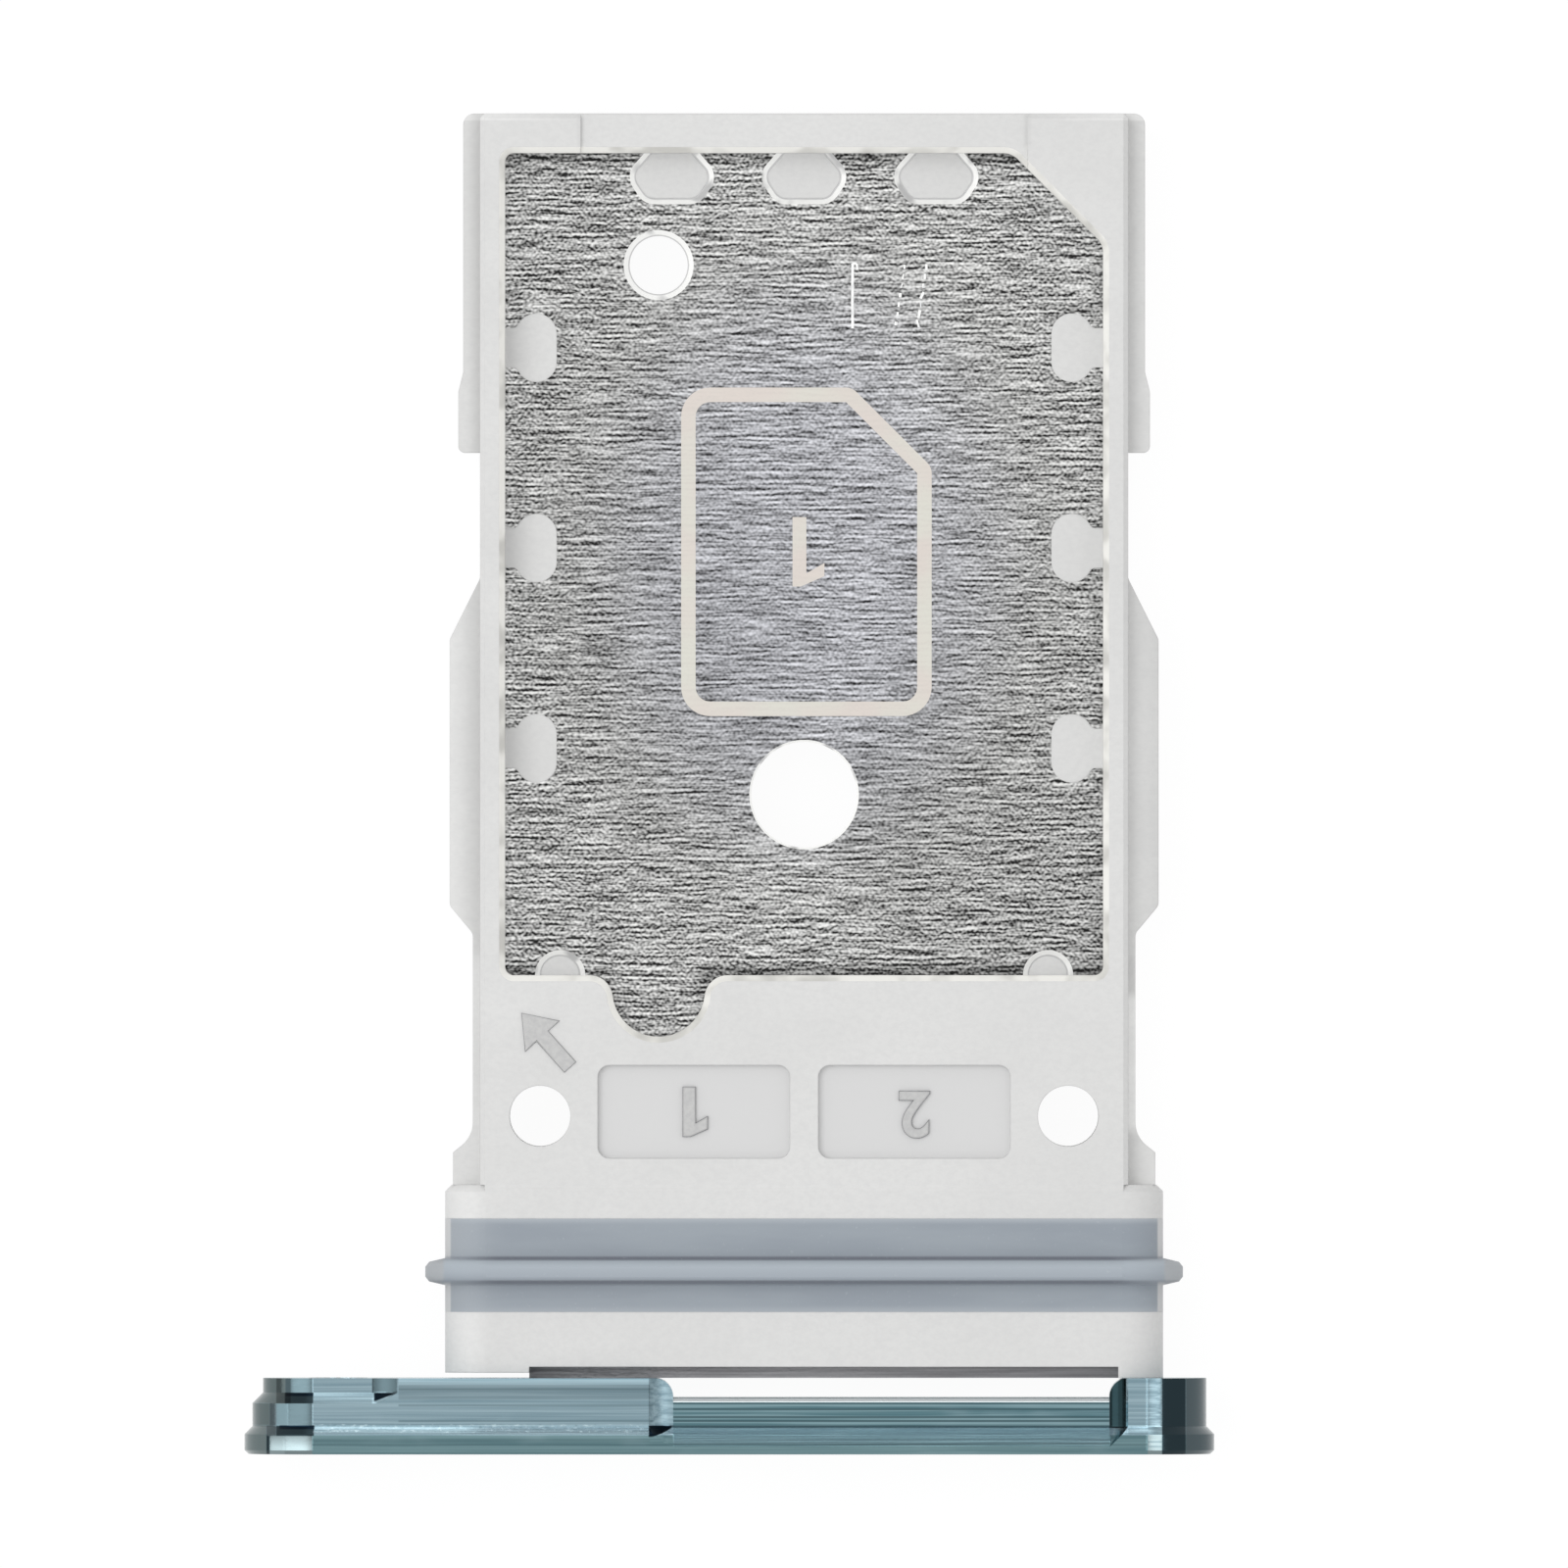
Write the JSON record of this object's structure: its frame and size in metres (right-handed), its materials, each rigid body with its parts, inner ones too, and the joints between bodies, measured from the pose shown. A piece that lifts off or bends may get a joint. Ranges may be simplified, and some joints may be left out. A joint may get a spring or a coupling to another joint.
{
  "type": "sim card tray",
  "caption": "Flat card tray of a phone: pale plastic frame round a steel plate with a card pocket in each face, ring seal on the neck, machined metal cap with a release-pin hole.",
  "frame": {"origin": "middle of the bounding box in X and Y, on the surface the tray lies on", "axes": "+Y is the way the tray goes into the phone, +X runs across it with the pin hole on the -X side, +Z is out of the face with the recessed panels"},
  "size_m": [0.0146, 0.0202, 0.0021],
  "materials": {
    "frame_plastic": "moulded, fine matt",
    "plate_steel": "brushed across the tray",
    "seal_silicone": "matt",
    "cap_aluminium": "machined and anodised, satin"
  },
  "bodies": {
    "root": {"tray_frame": "frame_plastic", "sim_plate": "plate_steel", "neck_seal": "seal_silicone", "front_cap": "cap_aluminium"}
  },
  "joints": []
}
